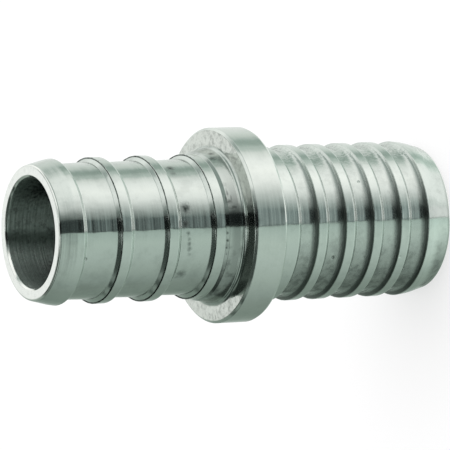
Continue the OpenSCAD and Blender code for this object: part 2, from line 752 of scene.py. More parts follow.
@dataclass(frozen=True)
class SteelFinish:
    """Stainless steel with one way of finishing. Steel mirrors what stands round it.

    A lathe's rings are about 0.1 mm apart and a casting's grain is finer. Both are smaller than a
    pixel of the render, so they are drawn as coarse as they need to show.

    Args:
        name: Name of the material, after the metal and its process.
        colour: sRGB colour of the bare metal, which tints all it mirrors.
        dark: sRGB colour of the mottling and the stain marks, and of the painted shade in the low places.
        roughness: Blur of the mirror image.
        anisotropic: How much further the image is blurred along the axis than round it.
        lathe_mm: Spacing of the rings that the tool leaves.
        lathe_um: Height of those rings in thousandths of a mm, or 0 for none.
        wave_mm: Length of the shallow waves in the skin.
        wave_um: Height of those waves in thousandths of a mm.
        grain_mm: Size of the grain of the skin.
        grain_um: Height of that grain in thousandths of a mm.
        mottling: Share of the dark colour in the mottled places.
        mottle_mm: Size of the mottled places.
        dirt_and_shade_blur: How much blurrier the mirror image is where the dark share is full.
        curls: Curled marks in the grooves, or None.
        groove_shade: Painted shade in the grooves, or None.
    """

    name: str
    colour: str
    dark: str
    roughness: float
    anisotropic: float = 0.0
    lathe_mm: float = 0.3
    lathe_um: float = 0.0
    wave_mm: float = 2.0
    wave_um: float = 0.0
    grain_mm: float = 0.2
    grain_um: float = 0.0
    mottling: float = 0.0
    mottle_mm: float = 1.0
    dirt_and_shade_blur: float = 0.3
    curls: Curls | None = None
    groove_shade: PaintedGrooveShade | None = None

    def build(self, stains_and_shade: StainsAndShade = ()) -> bpy.types.Material:
        """Make the material.

        Args:
            stains_and_shade: Stain marks and patches of painted shade, each with the surface radius in mm
                and its strength.

        Returns:
            The material.
        """
        material = bpy.data.materials.new(self.name)
        tree = empty_tree(material)
        place = add_node(tree, "ShaderNodeTexCoord").outputs["Object"]
        colour, blur = self._colour(tree, place, stains_and_shade)
        inputs: dict[Any, Any] = {
            "Base Color": colour, "Metallic": 1.0, "Roughness": blur, "Normal": self._relief(tree, place),
        }
        if self.anisotropic:
            around = add_node(tree, "ShaderNodeTangent", {"direction_type": "RADIAL", "axis": "Z"})
            inputs |= {
                "Anisotropic": self.anisotropic, "Anisotropic Rotation": 0.25, "Tangent": around,
            }
        shader = add_node(tree, "ShaderNodeBsdfPrincipled", inputs=inputs)
        add_node(tree, "ShaderNodeOutputMaterial", inputs={"Surface": shader})
        return material

    def _colour(self, tree: Tree, place: Source, stains_and_shade: StainsAndShade) -> tuple[Source, Source]:
        """Colour and blur of the surface, with its mottling, its painted shade and its stain marks.

        Args:
            tree: Node tree of the material.
            place: Object coordinates.
            stains_and_shade: Stain marks and patches of painted shade, each with the surface radius in mm
                and its strength.

        Returns:
            Sources of the colour and the roughness.
        """
        cloud = add_node(tree, "ShaderNodeTexNoise", inputs={
            "Vector": place, "Scale": 1.0 / (self.mottle_mm * MM), "Detail": 6.0, "Roughness": 0.65,
        })
        dirt_and_shade = cover(tree, [(cloud, 0.44, 0.68)], self.mottling)
        if self.groove_shade:
            dirt_and_shade = self._groove_shade(tree, place, cloud, dirt_and_shade)
        for mark, radius, strength in stains_and_shade:
            dirt_and_shade = self._stain_or_shade(tree, place, mark, radius, strength, dirt_and_shade)
        colour = lay(tree, linear(self.colour), linear(self.dark), shares=(dirt_and_shade,))
        rough = add_node(tree, "ShaderNodeMapRange", inputs={
            "Value": dirt_and_shade, "To Min": self.roughness, "To Max": self.roughness + self.dirt_and_shade_blur,
        })
        return colour, rough

    def _groove_shade(self, tree: Tree, place: Source, cloud: Source, below: Source) -> Source:
        """Add the painted shade of the grooves to the dark share so far.

        Args:
            tree: Node tree of the material.
            place: Object coordinates.
            cloud: Noise that breaks the painted shade up.
            below: Dark share so far.

        Returns:
            Source of the whole dark share.
        """
        groove_shade = self.groove_shade
        axes = add_node(tree, "ShaderNodeSeparateXYZ", inputs={0: place})
        # More painted shade towards the -X side.
        under = add_node(tree, "ShaderNodeMapRange", {"interpolation_type": "SMOOTHSTEP"}, {
            "Value": axes.outputs["X"], "From Min": 0.0, "From Max": groove_shade.under_x * MM,
            "To Min": groove_shade.level, "To Max": groove_shade.level + groove_shade.under,
        })
        broken = add_node(tree, "ShaderNodeMapRange", inputs={
            "Value": cloud, "From Min": 0.3, "From Max": 0.7, "To Min": 0.6, "To Max": 1.3,
        })
        # The painted shade lies deep in the grooves, and stops short of the lowest line of the underside.
        uneven = cover(tree, [
            (distance_from_axis(tree, place), groove_shade.crest_r * MM, groove_shade.floor_r * MM),
            (axes.outputs["X"], groove_shade.clear_line_x[0] * MM, groove_shade.clear_line_x[1] * MM),
        ], shares=(under, broken))
        total = add_node(tree, "ShaderNodeMath", {"operation": "ADD", "use_clamp": True}, {
            0: below, 1: uneven,
        })
        return self._foot_shade(tree, place, groove_shade.foot, axes, total) if groove_shade.foot else total

    def _foot_shade(self, tree: Tree, place: Source, foot: RibFootShade, axes: bpy.types.Node,
              below: Source) -> Source:
        """Lay the painted shade at the foot of the steep walls over the dark share so far.

        Args:
            tree: Node tree of the material.
            place: Object coordinates.
            foot: Where the painted shade lies.
            axes: Node with the parts of the object coordinates.
            below: Dark share so far.

        Returns:
            Source of the darker of the two.
        """
        # Streaks that run round the part break up the painted shade.
        drawn = add_node(tree, "ShaderNodeVectorMath", {"operation": "MULTIPLY"}, {0: place, 1: (1, 1, 3)})
        streaks = add_node(tree, "ShaderNodeTexNoise", inputs={
            "Vector": drawn, "Scale": 1.0 / (0.9 * MM), "Detail": 5.0, "Roughness": 0.7,
        })
        # The height is wrapped from just under each rib's edge, so that every rib is like the first.
        low = foot.first - 0.3
        above = add_node(tree, "ShaderNodeMath", {"operation": "WRAP"}, {
            0: axes.outputs["Z"], 1: (low + foot.pitch) * MM, 2: low * MM,
        })
        wander = add_node(tree, "ShaderNodeMath", {"operation": "MULTIPLY_ADD"}, {
            0: streaks, 1: -foot.wander * MM, 2: above,
        })
        # On average, the noise moves the painted shade down by half of what it can.
        start = foot.first - foot.wander / 2
        high = low + foot.count * foot.pitch
        soft = cover(tree, [
            (wander, (start + foot.reach) * MM, (start + foot.line) * MM),
        ], foot.soft)
        hard = cover(tree, [
            (wander, (start + foot.line + 0.08) * MM, (start + foot.line) * MM),
        ], foot.hard)
        both = add_node(tree, "ShaderNodeMath", {"operation": "ADD"}, {0: soft, 1: hard})
        # The painted shade fades to a tenth towards the lit +X side.
        lit_side = add_node(tree, "ShaderNodeMapRange", {"interpolation_type": "SMOOTHSTEP"}, {
            "Value": axes.outputs["X"], "To Min": 1.0, "To Max": 0.1,
            "From Min": foot.lit_side_x[0] * MM, "From Max": foot.lit_side_x[1] * MM,
        })
        on_ribs = cover(tree, [
            (above, (foot.first - 0.02) * MM, (foot.first + 0.06) * MM),
            (axes.outputs["Z"], high * MM, (high - 0.1) * MM),
        ], shares=(both, lit_side))
        return add_node(tree, "ShaderNodeMath", {"operation": "MAXIMUM", "use_clamp": True}, {
            0: below, 1: on_ribs,
        })

    def _stain_or_shade(self, tree: Tree, place: Source, mark: Mark, radius: float, strength: float,
               below: Source) -> Source:
        """Lay one soft-edged stain or patch of painted shade over the dark share so far.

        Args:
            tree: Node tree of the material.
            place: Object coordinates.
            mark: Place and size of the stain or patch.
            radius: Radius of the surface in mm.
            strength: Darkness of the stain or patch at its middle.
            below: Dark share so far.

        Returns:
            Source of the dark share with the stain or patch.
        """
        middle = mark.centre(radius)
        wobble = add_node(tree, "ShaderNodeTexNoise", inputs={
            "Vector": place, "Scale": 1.0 / (0.35 * MM), "Detail": 4.0,
        })
        away = add_node(tree, "ShaderNodeVectorMath", {"operation": "SUBTRACT"}, {0: place, 1: middle})
        squeezed = add_node(tree, "ShaderNodeVectorMath", {"operation": "MULTIPLY"}, {
            0: away, 1: (1.0, 1.0, 1.0 / mark.tall),
        })
        far = add_node(tree, "ShaderNodeVectorMath", {"operation": "LENGTH"}, {0: squeezed})
        # On average, the noise adds 0.45 of the size to the distance.
        ragged = add_node(tree, "ShaderNodeMath", {"operation": "MULTIPLY_ADD"}, {
            0: wobble, 1: mark.size * MM * 0.9, 2: far.outputs[1],
        })
        spot = cover(tree, [
            (ragged, 1.45 * mark.size * MM, 0.35 * mark.size * MM),
        ], strength)
        return add_node(tree, "ShaderNodeMath", {"operation": "MAXIMUM"}, {0: below, 1: spot})

    def _relief(self, tree: Tree, place: Source) -> Source | None:
        """Fine relief that is too small to model: tool rings, shallow waves and grain.

        Args:
            tree: Node tree of the material.
            place: Object coordinates.

        Returns:
            Source of the bent normal, or None.
        """
        # Each layer: how finely it is laid along X, Y and Z, its size in mm, its height in um.
        layers = [
            ((0.03, 0.03, 1.0), self.lathe_mm, self.lathe_um),
            ((1.0, 1.0, 0.6), self.wave_mm, self.wave_um),
            ((1.0, 1.0, 1.0), self.grain_mm, self.grain_um),
        ]
        normal: Source | None = None
        for stretch, size_mm, height_um in layers:
            if not height_um:
                continue
            stretched = add_node(tree, "ShaderNodeVectorMath", {"operation": "MULTIPLY"}, {
                0: place, 1: stretch,
            })
            lumps = add_node(tree, "ShaderNodeTexNoise", inputs={
                "Vector": stretched, "Scale": 1.0 / (size_mm * MM),
                "Detail": 2.0, "Roughness": 0.5,
            })
            normal = add_node(tree, "ShaderNodeBump", inputs={
                "Strength": 1.0, "Distance": height_um * 1e-6, "Height": lumps, "Normal": normal,
            })
        return self._curls(tree, place, normal, self.curls) if self.curls else normal

    def _curls(self, tree: Tree, place: Source, normal: Source | None, curls: Curls) -> Source:
        """Bend the normal by the curled marks.

        Args:
            tree: Node tree of the material.
            place: Object coordinates.
            normal: Bent normal so far, or None.
            curls: Where the marks lie.

        Returns:
            Source of the bent normal.
        """
        swirls = add_node(tree, "ShaderNodeTexNoise", inputs={
            "Vector": place, "Scale": 1.0 / (curls.size * MM), "Detail": 1.0, "Distortion": 1.5,
        })
        axes = add_node(tree, "ShaderNodeSeparateXYZ", inputs={0: place})
        height = cover(tree, [
            (axes.outputs["X"], curls.side_x[0] * MM, curls.side_x[1] * MM),
            (distance_from_axis(tree, place), curls.groove_r[0] * MM, curls.groove_r[1] * MM),
        ], shares=(swirls,))
        return add_node(tree, "ShaderNodeBump", inputs={
            "Strength": 1.0, "Distance": curls.height_um * 1e-6, "Height": height, "Normal": normal,
        })


@dataclass
class CouplingBody:
    """The one-piece coupling: its profile, its marks and its finishes."""

    slim: SlimBarb = field(default_factory=SlimBarb)
    wide: WideBarb = field(default_factory=WideBarb)
    middle: CollarAndNeck = field(default_factory=CollarAndNeck)
    bore: Bore = field(default_factory=Bore)
    steps: int = 208
    # Radius where the collar's face starts, and how far the burr of an edge reaches, in mm.
    face_r: float = 9.8
    burr_reach: float = 0.16

    def heights(self) -> dict[str, float]:
        """Heights of the main stations above the floor.

        Returns:
            Heights in mm of the collar's foot and top, the neck's end and the part's end.
        """
        foot = self.wide.length()
        top = foot + self.middle.width
        neck = top + self.middle.neck_len
        return {"foot": foot, "top": top, "neck": neck, "end": neck + self.slim.length()}

    def outline(self) -> list[tuple[float, float]]:
        """Closed lathe profile, outside and bore.

        Returns:
            Points of the profile as radius and height in mm.
        """
        h = self.heights()
        corners = [
            *self.wide.corners(),
            *self.middle.corners(h["foot"], self.wide.crest_r),
            *self.slim.corners(h["neck"]),
            *self.bore.corners(h["end"]),
        ]
        cast_z = (h["top"] - 0.4, h["neck"] + 0.2)
        spacing = Spacing(plain=0.8, cast=0.26, cast_z=cast_z, bore_r=self.bore.radius)
        return divide(soften(corners), spacing)

    def zone_of(self, middle: Vector, normal: Vector) -> Zone:
        """Finish of a face.

        Args:
            middle: Middle of the face in metres.
            normal: Outward normal of the face.

        Returns:
            The zone that the face belongs to.
        """
        h = self.heights()
        r, z = math.hypot(middle.x, middle.y) / MM, middle.z / MM
        outward = (normal.x * middle.x + normal.y * middle.y) / (r * MM)
        neck_r = self.middle.neck_r
        if r < self.bore.radius + 0.03 and outward < 0:
            return Zone.DRILLED_BORE
        # The end faces take the bevels of the bore's mouths and the inner part of the outer rounds.
        if abs(normal.z) > 0.6 and (z > h["end"] - 0.4 or z < 0.4):
            return Zone.FACED_END
        # The collar's face starts where the neck's fillet is nearly level.
        if abs(z - h["top"]) < 0.1 and r > neck_r + 0.3 and abs(normal.z) > 0.9:
            return Zone.COLLAR_FACE
        if h["top"] - 0.1 < z < h["neck"] - 0.05 and r < neck_r + 1.0:
            return Zone.NECK
        if h["foot"] - 0.01 <= z <= h["top"]:
            return Zone.COLLAR_RIM
        # Above the collar, only the steep walls look upwards.
        if normal.z > 0.85 and z > h["top"]:
            return Zone.RIB_WALL
        return Zone.SLIM_TURNED if z > h["top"] else Zone.WIDE_TURNED

    def build(self) -> bpy.types.Object:
        """Model the coupling.

        Returns:
            The finished object, without materials.
        """
        points = self.outline()
        piece = trace_outline("coupling", points)
        spin_closed(piece, self.steps)
        LOG.info("profile of %d points, spun in %d steps", len(points), self.steps)
        self.roughen(piece)
        for i, (mark, radius) in enumerate(self.pits()):
            self.dent(piece, f"pit {i}", mark, radius)
        pick(piece)
        bpy.ops.object.shade_smooth_by_angle(angle=math.radians(40))
        return piece

    def roughen(self, piece: bpy.types.Object) -> None:
        """Give the collar's face and the neck their lumpy cast skin, and the edges their burr.

        Args:
            piece: The spun shell.
        """
        h = self.heights()
        cast, burr = [], []
        edges = self.edge_places()
        for v in piece.data.vertices:
            r, z = math.hypot(v.co.x, v.co.y) / MM, v.co.z / MM
            low = smoothstep(h["top"] - 0.3, h["top"] - 0.02, z)
            high = 1.0 - smoothstep(h["neck"] - 0.5, h["neck"] - 0.1, z)
            # The neck is lumpy towards +X, and the collar's face a little towards +X and -X.
            sideways = v.co.x / MM / r
            lumpy = smoothstep(0.72, 0.9, sideways)
            if r > self.face_r:
                lumpy = 0.02 + 0.4 * smoothstep(0.6, 0.85, abs(sideways))
            cast.append(low * high * lumpy if r > self.bore.radius + 0.5 else 0.0)
            near = min(math.hypot(r - edge_r, z - edge_z) for edge_r, edge_z in edges)
            burr.append(max(0.0, 1.0 - near / self.burr_reach))
        displace(piece, weigh(piece, "cast skin", cast), strength=0.07, grain=0.8, depth=3)
        displace(piece, weigh(piece, "edge burr", burr), strength=0.05, grain=0.3, middle=0.45)

    def pits(self) -> list[tuple[Mark, float]]:
        """Pits and nicks of the turned faces.

        Returns:
            Marks, each with the radius of its surface in mm.
        """
        slim, wide = self.slim.crest_r - self.slim.groove + 0.1, self.wide.crest_r - self.wide.groove
        return [
            (Mark(49.92, -24.4, 0.26, 0.09, 0.6), slim),
            (Mark(16.35, -30.2, 0.3, 0.12, 0.7), wide),
            (Mark(9.5, -20.6, 0.24, 0.07, 0.6), self.wide.crest_r),
            (Mark(13.5, -39.5, 0.2, 0.06), wide),
            (Mark(12.0, -31.0, 0.18, 0.05), wide),
            (Mark(7.2, -30.0, 0.2, 0.06), self.wide.crest_r),
            (Mark(5.7, -44.0, 0.18, 0.05), wide),
            (Mark(5.8, -48.0, 0.18, 0.05), wide),
            (Mark(5.9, -52.0, 0.18, 0.05), wide),
            (Mark(12.3, 31.0, 0.2, 0.06), wide),
        ]

    def dent(self, piece: bpy.types.Object, name: str, mark: Mark, radius: float) -> None:
        """Press one pit into the outside.

        Args:
            piece: The spun shell.
            name: Name of the pit's vertex group.
            mark: Place, size and depth of the pit.
            radius: Radius of the surface in mm.
        """
        centre, reach = mark.centre(radius), mark.size * MM
        spread, cuts = 2.2, 4
        pick(piece)
        mesh = piece.data
        for part in (mesh.vertices, mesh.edges):
            part.foreach_set("select", [False] * len(part))
        # The faces are divided to beyond the rim, so that it blends in.
        for face in mesh.polygons:
            face.select = (face.center - centre).length < spread * reach
        bpy.ops.object.mode_set(mode="EDIT")
        bpy.ops.mesh.subdivide(number_cuts=cuts, smoothness=1.0)
        bpy.ops.object.mode_set(mode="OBJECT")
        weights = []
        for v in mesh.vertices:
            away = v.co - centre
            away.z /= mark.tall
            weights.append(1.0 - smoothstep(0.35, 1.0, away.length / reach))
        displace(piece, weigh(piece, name, weights), -mark.depth)

    def edge_places(self) -> list[tuple[float, float]]:
        """Edges where the tool left a burr.

        Returns:
            Radius and height of each edge in mm.
        """
        h = self.heights()
        slim, wide = self.slim, self.wide
        edges = [(slim.crest_r, h["neck"] + i * slim.pitch + slim.land) for i in range(slim.ribs - 1)]
        edges += [(wide.crest_r, wide.tip_len + i * wide.pitch) for i in range(wide.ribs)]
        edges.append((slim.crest_r, h["end"] - slim.tip_len))
        # The edges of the collar's rim lie beside its bevels.
        edges.append((self.middle.collar_r, h["foot"] + 0.25))
        edges.append((self.middle.collar_r, h["top"] - self.middle.bevel))
        return edges

    def finishes(self) -> dict[Zone, bpy.types.Material]:
        """Make the steel of each zone.

        Returns:
            The materials by zone.
        """
        # Radii of the surfaces with stain marks and painted shade. The neck's marks have their own,
        # because it narrows upwards.
        slim, wide, crest, bore = 8.25, 9.06, self.wide.crest_r, self.bore.radius
        slim_stains = [
            (Mark(36.35, 59.8, 0.9), slim, 0.85),
            (Mark(36.5, 52.0, 0.7), slim, 0.55),
            (Mark(36.5, 15.6, 1.15), slim, 0.95),
            (Mark(36.75, 2.0, 0.8), slim, 0.8),
            (Mark(36.35, -6.0, 0.55, tall=0.8), slim, 0.7),
            (Mark(36.25, -11.0, 0.5, tall=0.8), slim, 0.55),
            (Mark(36.2, -15.0, 0.6, tall=0.8), slim, 0.65),
            (Mark(36.1, -19.0, 0.6, tall=0.9), slim, 0.6),
            (Mark(36.0, -24.0, 0.5), slim, 0.35),
            (Mark(36.5, -44.0, 1.2), slim, 0.6),
            (Mark(34.6, -46.0, 3.4, tall=0.6), slim, 0.2),
        ]
        wide_stains = [
            (Mark(16.35, -30.2, 0.4), wide, 0.9),
            (Mark(9.5, -20.6, 0.3), crest, 0.8),
            (Mark(13.5, -39.5, 0.3), wide, 0.7),
        ]
        # Patches of painted shade on the far walls of the bore, below its upper mouth.
        bore_painted_shade = [
            (Mark(49.0, 126.0, 4.8, tall=1.6), bore, 1.0),
            (Mark(49.5, 105.0, 5.0, tall=1.6), bore, 1.0),
            (Mark(46.2, -136.0, 4.6, tall=1.3), bore, 1.0),
            (Mark(46.8, -112.0, 5.0, tall=1.3), bore, 1.0),
        ]
        neck_stains = [
            (Mark(31.5, -6.0, 0.3), 9.0, 0.85),
            (Mark(31.45, -12.0, 0.34), 9.0, 0.85),
            (Mark(31.5, -18.0, 0.3), 9.0, 0.8),
            (Mark(31.35, -23.0, 0.26), 9.0, 0.7),
            (Mark(30.9, 18.0, 0.6, tall=1.6), 9.1, 0.75),
            (Mark(30.4, 13.0, 0.5, tall=1.8), 9.2, 0.8),
            (Mark(30.6, 62.0, 0.8), 9.1, 0.8),
            (Mark(30.2, 70.0, 0.7), 9.2, 0.8),
            (Mark(30.95, 25.0, 1.0, tall=0.3), 9.2, 0.6),
            (Mark(31.25, 20.0, 0.8, tall=0.25), 9.1, 0.7),
            (Mark(30.6, 20.0, 0.9, tall=0.3), 9.2, 0.7),
            (Mark(30.3, -52.0, 0.9, tall=0.8), 9.2, 0.6),
            (Mark(30.4, -62.0, 0.8), 9.2, 0.6),
        ]
        ribs = self.wide
        # Painted shade at the foot of the wide barb's steep walls, and on the neck next to the collar's
        # face.
        walls = RibFootShade(ribs.tip_len, ribs.pitch, ribs.ribs, 1.2, 0.3, 0.5, 0.25)
        neck_top = RibFootShade(29.8, 5.0, 1, 1.55, 0.6, 0.36, 0.0)
        return {
            # Turned stainless: a clear mirror round the part, streaked along it by the tool rings. The
            # grooves of both barbs carry painted shade, more on the -X side, and the wide barb's also at
            # the foot of each steep wall.
            Zone.SLIM_TURNED: SteelFinish(
                "turned stainless, slim barb", "d2d8d4", "2f3a37", 0.12, 0.9,
                lathe_mm=0.8, lathe_um=36.0, wave_mm=2.2, wave_um=22.0, mottling=0.1, mottle_mm=2.5,
                groove_shade=PaintedGrooveShade(8.8, 8.3, 0.03, 0.03),
            ).build(slim_stains),
            Zone.WIDE_TURNED: SteelFinish(
                "turned stainless, wide barb", "d6dcd8", "2c3532", 0.13, 0.88,
                lathe_mm=0.6, lathe_um=20.0, wave_mm=1.6, wave_um=16.0, grain_mm=0.25, grain_um=1.5,
                mottling=0.08, mottle_mm=1.2, curls=Curls(), groove_shade=PaintedGrooveShade(9.58, 9.2, 0.08, 0.42, walls),
            ).build(wide_stains),
            Zone.COLLAR_RIM: SteelFinish(
                "turned stainless, collar rim", "d7dcd8", "4c5752", 0.13, 0.9,
                lathe_mm=0.6, lathe_um=20.0, wave_mm=2.5, wave_um=14.0, mottling=0.06, mottle_mm=2.0,
            ).build(),
            # Brushed-over cast stainless: nearly a mirror, with patches of dark oxide left in it, and
            # painted shade by the collar, towards its top and on its -X side.
            Zone.NECK: SteelFinish(
                "stained stainless neck with painted shade", "c6ccc8", "1a2624", 0.12, 0.6,
                lathe_mm=0.7, lathe_um=9.0, wave_mm=0.9, wave_um=8.0, mottling=0.25, mottle_mm=1.6,
                dirt_and_shade_blur=0.06, groove_shade=PaintedGrooveShade(9.5, 9.35, 0.05, 0.3, neck_top),
            ).build(neck_stains),
            # Cast stainless: the fine-grained skin of the mould, dull where it is pitted.
            Zone.COLLAR_FACE: SteelFinish(
                "cast stainless collar face", "d8dbd6", "2a3432", 0.1, 0.0,
                wave_mm=1.0, wave_um=5.0, grain_mm=0.3, grain_um=4.0, mottling=0.25, mottle_mm=0.7,
            ).build(),
            # Faced stainless: a fine even cut that throws the light of the sweep straight back.
            Zone.FACED_END: SteelFinish(
                "faced stainless end", "f0f1ee", "9aa39e", 0.1, 0.0,
                grain_mm=0.15, grain_um=1.0, mottling=0.1, mottle_mm=0.8,
            ).build(),
            # Drilled stainless: the drill's rings throw light from the mouth down the bore.
            Zone.DRILLED_BORE: SteelFinish(
                "drilled stainless bore", "d0dad5", "1c2523", 0.31, 1.0,
                lathe_mm=0.3, lathe_um=70.0, wave_mm=0.9, wave_um=6.0, mottling=0.5, mottle_mm=0.9,
            ).build(bore_painted_shade),
            # Painted shade on the steep wall of each slim rib: darker steel, with more painted shade on
            # the -X side.
            Zone.RIB_WALL: SteelFinish(
                "stainless rib wall with painted shade", "8d9490", "121817", 0.3, 0.0,
                mottling=0.4, mottle_mm=0.8, groove_shade=PaintedGrooveShade(9.8, 8.0, 0.5, 1.0),
            ).build(),
        }

    def dress(self, piece: bpy.types.Object) -> None:
        """Give every zone its own steel.

        Args:
            piece: The finished shell.
        """
        finishes = self.finishes()
        for zone in Zone:
            piece.data.materials.append(finishes[zone])
        for face in piece.data.polygons:
            face.material_index = self.zone_of(face.center, face.normal).value


@dataclass
class Camera:
    """Long lens that looks down on the standing part, rolled so that the bore points left."""

    lens_mm: float = 379.09
    location: tuple[float, float, float] = (0.0, -0.51406, 0.30016)
    right: tuple[float, float, float] = (-0.041138, -0.468843, -0.882323)
    up: tuple[float, float, float] = (0.999153, -0.019303, -0.036327)

    def place(self) -> bpy.types.Object:
        """Add the camera and make it the scene's camera.

        Returns:
            The camera object.
        """
        data = bpy.data.cameras.new("camera")
        data.lens = self.lens_mm
        data.sensor_width = 36.0
        data.clip_start = 0.01
        data.clip_end = 20.0
        camera = bpy.data.objects.new("camera", data)
        bpy.context.scene.collection.objects.link(camera)
        x, y = Vector(self.right).normalized(), Vector(self.up).normalized()
        z = x.cross(y).normalized()
        turn = Matrix((x, y, z)).transposed().to_4x4()
        camera.matrix_world = Matrix.Translation(Vector(self.location)) @ turn
        bpy.context.scene.camera = camera
        return camera


@dataclass(frozen=True)
class Sight:
    """Sources of the line of sight of a mirrored ray.

    The first three run from -1 to 1: towards the soft box, away from the front and upwards. The
    last one is the angle round the axis as a share of a turn.
    """

    side: Source
    back: Source
    high: Source
    turn: Source


@dataclass
class Studio:
    """White floor and the surroundings that the steel mirrors.

    The angle round the axis is 0 at the front and positive towards +X, where the soft box
    stands. Light levels and tints are linear, and a level of 1 is white.
    """

    floor_size: float = 6.0
    floor_colour: str = "fcf8fb"
    # Share of the floor's white that doesn't need light, as the camera sees it.
    own_white: float = 0.65
    # Margin of the dark disc of painted shade round the bore and its depth under the floor's plane, in mm.
    disc_margin: float = 0.6
    disc_drop: float = 0.2
    shade_disc_colour: str = "141816"
    lamp_size: float = 2.2
    lamp_watts: float = 26.0
    lamp_place: tuple[float, float, float] = (0.35, -0.1, 1.4)
    # Even sheet of the soft box, and the pale wall above its back edge.
    box_light: Light = (1.1, 1.12, 1.09, 1.0)
    pale_light: Light = (0.92, 0.95, 0.92, 1.0)
    # Panels, away from the soft box and on its side, then the bar behind the part likewise.
    panel_dark: Light = (0.02, 0.03, 0.025, 1.0)
    panel_grey: Light = (0.34, 0.41, 0.38, 1.0)
    bar_dark: Light = (0.035, 0.048, 0.042, 1.0)
    bar_grey: Light = (0.22, 0.27, 0.25, 1.0)
    # The sweep is as many times lighter than the wall above it, up to its own white.
    sweep_gain: float = 1.42
    sweep_white: tuple[float, float, float] = (1.1, 1.13, 1.1)
    # Tints of the deep gap, of the pale wall at its foot and of the ceiling.
    gap_tint: Light = (0.82, 1.04, 1.0, 1.0)
    foot_tint: Light = (1.0, 1.02, 1.0, 1.0)
    ceiling_tint: tuple[float, float, float] = (0.94, 1.03, 0.98)
    ceiling_grey: Light = (0.6, 0.6, 0.6, 1.0)
    # Degrees round the axis, then red, green and blue.
    walls: Table = (
        (-180.0, 0.96, 0.99, 0.97), (-168.0, 0.46, 0.52, 0.48), (-152.0, 0.29, 0.35, 0.31),
        (-136.0, 0.24, 0.30, 0.26), (-108.0, 0.28, 0.34, 0.30), (-92.0, 0.34, 0.41, 0.37),
        (-72.0, 0.43, 0.51, 0.46), (-48.0, 0.52, 0.61, 0.56), (-24.0, 0.56, 0.66, 0.60),
        (-10.0, 0.50, 0.60, 0.55), (-3.6, 0.44, 0.54, 0.49), (16.0, 0.50, 0.57, 0.53),
        (32.0, 0.76, 0.80, 0.77), (50.0, 1.12, 1.13, 1.10), (66.0, 1.28, 1.28, 1.24),
        (80.0, 1.16, 1.17, 1.14), (90.0, 0.98, 1.01, 0.97), (94.5, 0.84, 0.88, 0.84),
        (97.0, 0.62, 0.70, 0.65), (104.0, 0.57, 0.65, 0.60), (107.5, 0.40, 0.49, 0.44),
        (116.0, 0.38, 0.47, 0.42), (120.0, 0.50, 0.58, 0.54), (127.0, 0.70, 0.76, 0.71),
        (138.0, 0.82, 0.87, 0.83), (152.0, 0.88, 0.91, 0.88), (168.0, 0.86, 0.90, 0.87),
        (180.0, 0.96, 0.99, 0.97),
    )
    # Degrees round the axis, then how much the panels cover.
    panels: Table = (
        (-132.0, 0.0), (-125.0, 0.94), (112.0, 0.94), (130.0, 0.0),
    )
    # Height of the line of sight, then how much the panels cover: away from the soft box, on its
    # side of the axis, and towards the box itself.
    dark_rows: Table = (
        (-1.0, 0.0), (0.03, 0.0), (0.16, 0.9), (0.36, 0.85), (0.43, 0.0), (0.63, 0.0),
        (0.70, 1.0), (1.0, 1.0),
    )
    light_rows: Table = (
        (-1.0, 0.0), (0.03, 0.0), (0.2, 1.0), (0.57, 1.0), (0.63, 0.0), (0.71, 0.0),
        (0.77, 1.0), (1.0, 1.0),
    )
    low_row: Table = (
        (-1.0, 0.0), (0.03, 0.0), (0.2, 1.0), (0.57, 1.0), (0.63, 0.0), (1.0, 0.0),
    )
    # Degrees round the axis, share of the gap, and brightness left by the bench's dark edge.
    gap: Table = (
        (-3.8, 0.0, 1.0), (-3.2, 1.0, 0.3), (-2.3, 1.0, 0.3), (-1.6, 1.0, 1.0), (15.5, 1.0, 1.0),
        (18.5, 0.76, 1.0), (24.0, 0.54, 1.0), (32.0, 0.28, 1.0), (40.0, 0.10, 1.0), (50.0, 0.0, 1.0),
    )
    # Height of the line of sight, then the level of the gap: a pale wall at its foot, and black
    # above that but for a faint line at the horizon.
    gap_level: Table = (
        (-1.0, 1.1), (-0.87, 0.92), (-0.69, 0.86), (-0.62, 0.78), (-0.56, 0.48), (-0.47, 0.25),
        (-0.42, 0.19), (-0.35, 0.05), (-0.28, 0.02), (-0.10, 0.015), (-0.06, 0.09), (0.06, 0.09),
        (0.10, 0.012), (1.0, 0.010),
    )
    # Sideways part of the line of sight, then the level of the ceiling before the part: a dark
    # strip between two light ones, and black past them away from the soft box.
    ceiling: Table = (
        (-1.0, 0.0), (-0.33, 0.0), (-0.31, 0.3), (-0.235, 0.4), (-0.215, 1.1), (-0.12, 1.5),
        (-0.07, 1.5), (-0.045, 0.06), (0.125, 0.06), (0.145, 1.5), (0.22, 1.2), (0.30, 0.9),
        (0.34, 0.85), (0.7, 0.9), (1.0, 1.0),
    )

    def lay_floor(self) -> bpy.types.Object:
        """Add the floor.

        Returns:
            The floor object.
        """
        clear_selection()
        bpy.ops.mesh.primitive_plane_add(size=self.floor_size)
        floor = bpy.context.object
        floor.name = "floor"
        material = bpy.data.materials.new("matt white paper sweep")
        tree = empty_tree(material)
        paper = add_node(tree, "ShaderNodeBsdfDiffuse", inputs={"Color": linear(self.floor_colour)})
        # Part of the white is the paper's own, so that the shadow on it stays light.
        white = add_node(tree, "ShaderNodeEmission", inputs={"Color": WHITE, "Strength": 1.0})
        share = cover(tree, (), self.own_white, (seen_directly(tree),))
        mixed = add_node(tree, "ShaderNodeMixShader", inputs={0: share, 1: paper, 2: white})
        add_node(tree, "ShaderNodeOutputMaterial", inputs={"Surface": mixed})
        floor.data.materials.append(material)
        # In place of this sheet, the steel mirrors the white sweep of the world.
        floor.visible_glossy = False
        return floor

